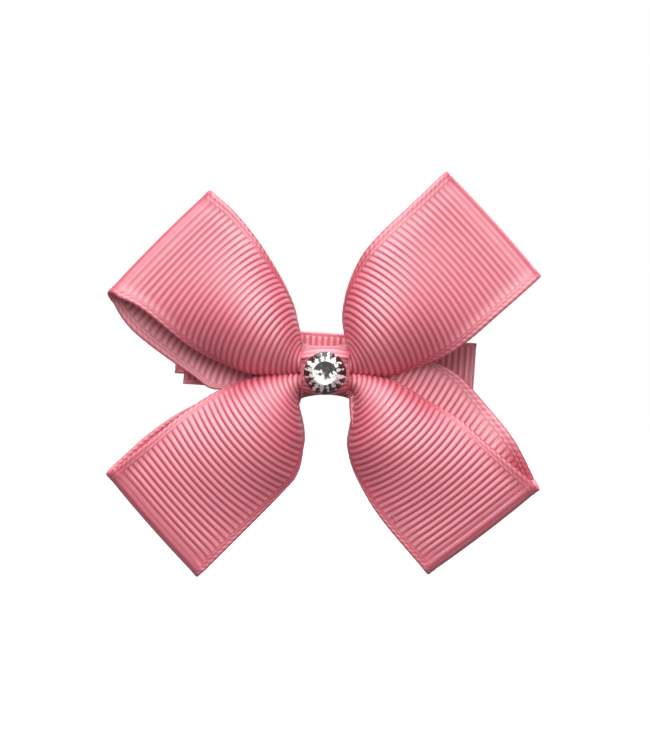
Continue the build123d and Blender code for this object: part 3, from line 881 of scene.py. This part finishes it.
def stone_material(name):
    """Cut glass over foil: painted reflection, dark above and white below in the table, and painted spikes
    round the rim.
    """
    material, tree, shader = new_material(name)
    place = object_position(tree)
    in_mm = tree.nodes.new("ShaderNodeSeparateXYZ")
    tree.links.new(place, in_mm.inputs[0])
    x = math_node(tree, "MULTIPLY", in_mm.outputs["X"], 1 / MM)
    z = math_node(tree, "MULTIPLY", in_mm.outputs["Z"], 1 / MM)
    squares = math_node(tree, "ADD", math_node(tree, "MULTIPLY", x, x), math_node(tree, "MULTIPLY", z, z))
    radius = math_node(tree, "SQRT", squares)
    angle = math_node(tree, "ARCTAN2", z, x)
    # Painted flashes: small cells that break up the painted reflection.
    flashes = tree.nodes.new("ShaderNodeTexVoronoi")
    flashes.inputs["Scale"].default_value = PAINTED_FLASH_SCALE
    tree.links.new(place, flashes.inputs["Vector"])
    cell = tree.nodes.new("ShaderNodeSeparateColor")
    tree.links.new(flashes.outputs["Color"], cell.inputs[0])
    ragged = math_node(tree, "MULTIPLY_ADD", cell.outputs[0], 1.5, -0.75)
    # Painted reflection in the table: dark in its upper part, white below.
    table = ramp(tree, math_node(tree, "SUBTRACT", ragged, z), -0.6, 1.0)
    table = math_node(tree, "MULTIPLY_ADD", ragged, 0.2, math_node(tree, "ADD", table, 0.1))
    # Painted reflection round the rim: white and dark spikes.
    sector = math_node(tree, "MULTIPLY", angle, RIM_SPIKES / (2 * math.pi))
    spikes = math_node(tree, "PINGPONG", sector, 0.5)
    slow = math_node(tree, "COSINE", math_node(tree, "MULTIPLY_ADD", angle, 4, 1.9))
    spikes = math_node(tree, "MULTIPLY_ADD", slow, 0.2, math_node(tree, "MULTIPLY", spikes, 2))
    reach = math_node(tree, "MULTIPLY_ADD", radius, 0.62, -1.05)
    ragged_spikes = math_node(tree, "MULTIPLY_ADD", ragged, 0.45, spikes)
    rim = ramp(tree, math_node(tree, "SUBTRACT", ragged_spikes, reach), -0.25, 0.25)
    mix = tree.nodes.new("ShaderNodeMix")
    tree.links.new(ramp(tree, radius, *TABLE_EDGE), mix.inputs["Factor"])
    tree.links.new(table, mix.inputs["A"])
    tree.links.new(rim, mix.inputs["B"])
    shades = tree.nodes.new("ShaderNodeValToRGB")
    points = shades.color_ramp.elements
    for spot, shade in PAINTED_REFLECTION_SHADES[1:-1]:
        points.new(spot).color = (*shade, 1)
    points[0].color = (*PAINTED_REFLECTION_SHADES[0][1], 1)
    points[-1].color = (*PAINTED_REFLECTION_SHADES[-1][1], 1)
    tree.links.new(mix.outputs["Result"], shades.inputs["Fac"])
    tree.links.new(shades.outputs["Color"], shader.inputs["Base Color"])
    shader.inputs["Roughness"].default_value = 0.2
    shader.inputs["Coat Weight"].default_value = 0.5
    shader.inputs["Coat Roughness"].default_value = 0.05
    return material


# %% Finishes on the CAD pieces
clip_metal = nickel("nickel_plate", (0.72, 0.70, 0.66), 0.2)
spring_metal = nickel("spring_wire_steel", (0.55, 0.55, 0.56), 0.25)
foil_metal = nickel("silver_foil", (0.9, 0.9, 0.92), 0.12)
glue_look = glue_material()
finishes = {
    "clip_upper_arm": clip_metal,
    "clip_lower_arm": clip_metal,
    "hinge_pin": clip_metal,
    "stone_foil": foil_metal,
    "stone_glue": glue_look,
    "bow_glue": glue_look,
    "gathering_thread": thread_material(),
    "rhinestone": stone_material("cut_glass"),
}
for node, finish in finishes.items():
    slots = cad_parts[node].data.materials
    slots.clear()
    slots.append(finish)
spring.data.materials.append(spring_metal)
print("finished nodes:", ", ".join(finishes))

# %% [markdown]
# ## Studio
# A small bright product on white needs a large soft light from above and in front, which leaves the
# upper loops pale and the lower ones deep, a weak fill beside the camera and a little light behind
# for the clip. The floor is a pale sheet well below the bow. It is painted paler to the eye than to
# the light that bounces off it, so that it stays white without washing out the lower loops. The
# camera is a long lens straight in front, as for a catalogue.

# %% Floor
FLOOR_HALF = 6.0
FLOOR_LEVEL = -0.12
FLOOR_BOUNCE = (0.13, 0.13, 0.13)
FLOOR_SEEN = (0.85, 0.85, 0.85)
floor_mesh = bpy.data.meshes.new("floor")
signs = ((-1, -1), (1, -1), (1, 1), (-1, 1))
floor_points = [(x * FLOOR_HALF, y * FLOOR_HALF, FLOOR_LEVEL) for x, y in signs]
floor_mesh.from_pydata(floor_points, [], [(0, 1, 2, 3)])
floor = bpy.data.objects.new("floor", floor_mesh)
bpy.context.scene.collection.objects.link(floor)
floor_paint, floor_tree, floor_shader = new_material("pale_floor")
ray = floor_tree.nodes.new("ShaderNodeLightPath")
pale = colour_mix(floor_tree, ray.outputs["Is Camera Ray"], FLOOR_BOUNCE, FLOOR_SEEN)
floor_tree.links.new(pale, floor_shader.inputs["Base Color"])
floor_shader.inputs["Roughness"].default_value = 0.9
floor_mesh.materials.append(floor_paint)
print("floor", round(-FLOOR_LEVEL / MM), "mm below the middle of the bow")

# %% White surroundings and soft lights
SURROUND_LIGHT = 0.08
world = bpy.data.worlds.new("studio")
bpy.context.scene.world = world
world.use_nodes = True
sky = world.node_tree
sky_light = sky.nodes["Background"]
sky_light.inputs["Strength"].default_value = SURROUND_LIGHT
white = sky.nodes.new("ShaderNodeBackground")
white.inputs["Color"].default_value = (1, 1, 1, 1)
white.inputs["Strength"].default_value = 1.0
sky_light.inputs["Color"].default_value = (1, 1, 1, 1)
seen = sky.nodes.new("ShaderNodeLightPath")
choose = sky.nodes.new("ShaderNodeMixShader")
sky.links.new(seen.outputs["Is Camera Ray"], choose.inputs[0])
sky.links.new(sky_light.outputs[0], choose.inputs[1])
sky.links.new(white.outputs[0], choose.inputs[2])
sky.links.new(choose.outputs[0], sky.nodes["World Output"].inputs[0])


def sun(name, strength, angle, direction):
    """A soft sun that shines along a direction."""
    lamp = bpy.data.lights.new(name, "SUN")
    lamp.energy = strength
    lamp.angle = math.radians(angle)
    holder = bpy.data.objects.new(name, lamp)
    bpy.context.scene.collection.objects.link(holder)
    holder.rotation_euler = Vector(direction).to_track_quat("-Z", "Y").to_euler()


sun("key", 4.4, 72, (0.05, 0.56, -0.83))
sun("fill", 0.95, 60, (-0.15, 0.98, -0.1))
sun("back", 1.6, 70, (-0.1, -0.85, -0.5))
print("lights:", [lamp.name for lamp in bpy.data.lights])

# %% Camera
FILM_WIDTH = 36
PLANE_DEPTH = -0.010
FRAME_HEIGHT = 0.11625
DISTANCE = 0.60
EYE_LEVEL = -0.00031
lens = bpy.data.cameras.new("camera")
lens.lens = FILM_WIDTH * DISTANCE / FRAME_HEIGHT
lens.clip_start = 0.01
lens.clip_end = 20
camera = bpy.data.objects.new("camera", lens)
camera.location = (0, PLANE_DEPTH - DISTANCE, EYE_LEVEL)
camera.rotation_euler = (math.pi / 2, 0, 0)
bpy.context.scene.collection.objects.link(camera)
bpy.context.scene.camera = camera
bpy.context.scene.view_settings.view_transform = "Standard"
print("lens", round(lens.lens), "mm at", DISTANCE, "m")
